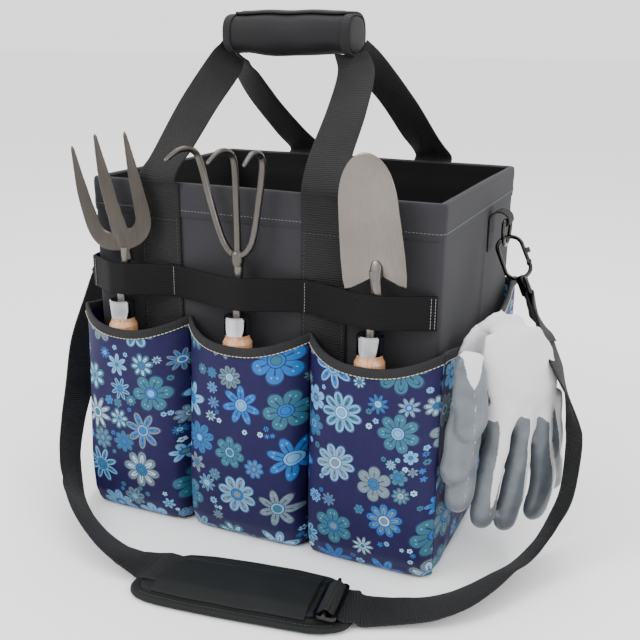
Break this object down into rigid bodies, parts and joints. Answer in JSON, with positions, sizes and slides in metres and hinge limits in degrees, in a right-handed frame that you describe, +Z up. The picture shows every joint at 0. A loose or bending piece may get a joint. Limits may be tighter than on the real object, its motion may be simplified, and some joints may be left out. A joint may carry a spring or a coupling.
{
  "type": "garden tool bag",
  "caption": "Open garden tool tote with board-stiffened walls, printed pockets all round, padded carrying grip, clip-on shoulder strap, hand tools and gloves.",
  "frame": {"origin": "centre of the underside of the bag's base, on the floor", "axes": "+Z up, front pockets and hand tools towards -Y, +X to the right seen from the front"},
  "size_m": [0.4732, 0.4088, 0.4285],
  "materials": {
    "body_cloth": "dark grey coated polyester, plain weave",
    "board": "black polyethylene board",
    "lining_cloth": "black lining cloth",
    "webbing": "charcoal ribbed polypropylene webbing",
    "printed_cloth": "blue floral printed cloth",
    "binding_tape": "dark grey grosgrain tape",
    "elastic": "black woven elastic",
    "foam": "soft foam filling",
    "wrap_cloth": "black grip cover with piped edges",
    "pad_cloth": "black shoulder pad cloth",
    "hardware": "gunmetal plated steel",
    "wood": "pale turned beech",
    "ferrule": "bright plated ferrule",
    "fork_steel": "warm dark grey steel",
    "tool_steel": "grey steel",
    "trowel_steel": "brushed light grey steel",
    "glove_knit": "white knit, grey dipped palm and fingers"
  },
  "bodies": {
    "bag": {"base_panel": "body_cloth", "base_board": "board", "front_panel": "body_cloth", "back_panel": "body_cloth", "left_panel": "body_cloth", "right_panel": "body_cloth", "long_boards": "board", "end_boards": "board", "lining": "lining_cloth", "rim_hem": "body_cloth", "front_webbing": "webbing", "rear_webbing": "webbing", "front_pocket_left": "printed_cloth", "front_pocket_centre": "printed_cloth", "front_pocket_right": "printed_cloth", "front_pocket_binding": "binding_tape", "back_pockets": "printed_cloth", "back_pocket_binding": "binding_tape", "left_pocket": "printed_cloth", "left_pocket_binding": "binding_tape", "right_pocket": "printed_cloth", "right_pocket_binding": "binding_tape", "elastic_band": "elastic", "front_leg_left": "webbing", "front_leg_right": "webbing", "rear_leg_left": "webbing", "rear_leg_right": "webbing", "ring_tapes": "webbing"},
    "grip": {"grip_webbing": "webbing", "grip_foam": "foam", "grip_wrap": "wrap_cloth"},
    "fork": {"fork_handle": "wood", "fork_ferrule": "ferrule", "fork_neck": "tool_steel", "fork_head": "fork_steel"},
    "cultivator": {"cultivator_handle": "wood", "cultivator_ferrule": "ferrule", "cultivator_neck": "tool_steel", "cultivator_head": "tool_steel"},
    "trowel": {"trowel_handle": "wood", "trowel_ferrule": "ferrule", "trowel_neck": "tool_steel", "trowel_head": "trowel_steel"},
    "gloves": {"glove_outer": "glove_knit", "glove_inner": "glove_knit"},
    "strap": {"strap_right_run": "webbing", "strap_left_run": "webbing", "strap_centre_run": "webbing", "shoulder_pad_base": "pad_cloth", "shoulder_pad_cover": "pad_cloth", "strap_adjuster": "hardware", "adjuster_bar": "hardware", "right_strap_ring": "hardware", "left_strap_ring": "hardware"},
    "right_ring": {"right_d_ring": "hardware"},
    "left_ring": {"left_d_ring": "hardware"},
    "right_hook": {"right_hook_body": "hardware"},
    "left_hook": {"left_hook_body": "hardware"},
    "right_gate": {"right_hook_gate": "hardware"},
    "left_gate": {"left_hook_gate": "hardware"}
  },
  "joints": [
    {"name": "grip_drop", "type": "slide", "parent": "bag", "child": "grip", "axis": [0, 0, 1], "range_m": [-0.085, 0], "deforming": ["front_leg_left", "front_leg_right", "rear_leg_left", "rear_leg_right"]},
    {"name": "fork_lift", "type": "slide", "parent": "bag", "child": "fork", "axis": [0, 0, 1], "range_m": [0, 0.15], "deforming": ["elastic_band"]},
    {"name": "cultivator_lift", "type": "slide", "parent": "bag", "child": "cultivator", "axis": [0, 0, 1], "range_m": [0, 0.15], "deforming": ["elastic_band"]},
    {"name": "trowel_lift", "type": "slide", "parent": "bag", "child": "trowel", "axis": [0, 0, 1], "range_m": [0, 0.15], "deforming": ["elastic_band"]},
    {"name": "gloves_lift", "type": "slide", "parent": "bag", "child": "gloves", "axis": [0, 0, 1], "range_m": [0, 0.058]},
    {"name": "strap_swing", "type": "hinge", "parent": "bag", "child": "strap", "pos_m": [0, 0.027, 0.247], "axis": [-1, 0, 0], "range_deg": [0, 48]},
    {"name": "right_hook_swivel", "type": "hinge", "parent": "strap", "child": "right_hook", "pos_m": [0.168, 0.027, 0.247], "axis": [0.4711, -0.6374, -0.6097], "range_deg": [-9, 9]},
    {"name": "right_gate_open", "type": "hinge", "parent": "right_hook", "child": "right_gate", "pos_m": [0.19206, 0.01056, 0.23128], "axis": [0, -0.6912, 0.7226], "range_deg": [0, 20], "stiffness_Nm_per_rad": 0.004, "springref_deg": -20.05},
    {"name": "right_ring_tilt", "type": "hinge", "parent": "bag", "child": "right_ring", "pos_m": [0.168, 0.027, 0.263], "axis": [0, 1, 0], "range_deg": [-2, 2]},
    {"name": "left_hook_swivel", "type": "hinge", "parent": "strap", "child": "left_hook", "pos_m": [-0.168, 0.027, 0.247], "axis": [-0.4711, -0.6374, -0.6097], "range_deg": [-9, 9]},
    {"name": "left_gate_open", "type": "hinge", "parent": "left_hook", "child": "left_gate", "pos_m": [-0.19206, 0.01056, 0.23128], "axis": [0, 0.6912, -0.7226], "range_deg": [0, 20], "stiffness_Nm_per_rad": 0.004, "springref_deg": -20.05},
    {"name": "left_ring_tilt", "type": "hinge", "parent": "bag", "child": "left_ring", "pos_m": [-0.168, 0.027, 0.263], "axis": [0, 1, 0], "range_deg": [-2, 2]}
  ]
}
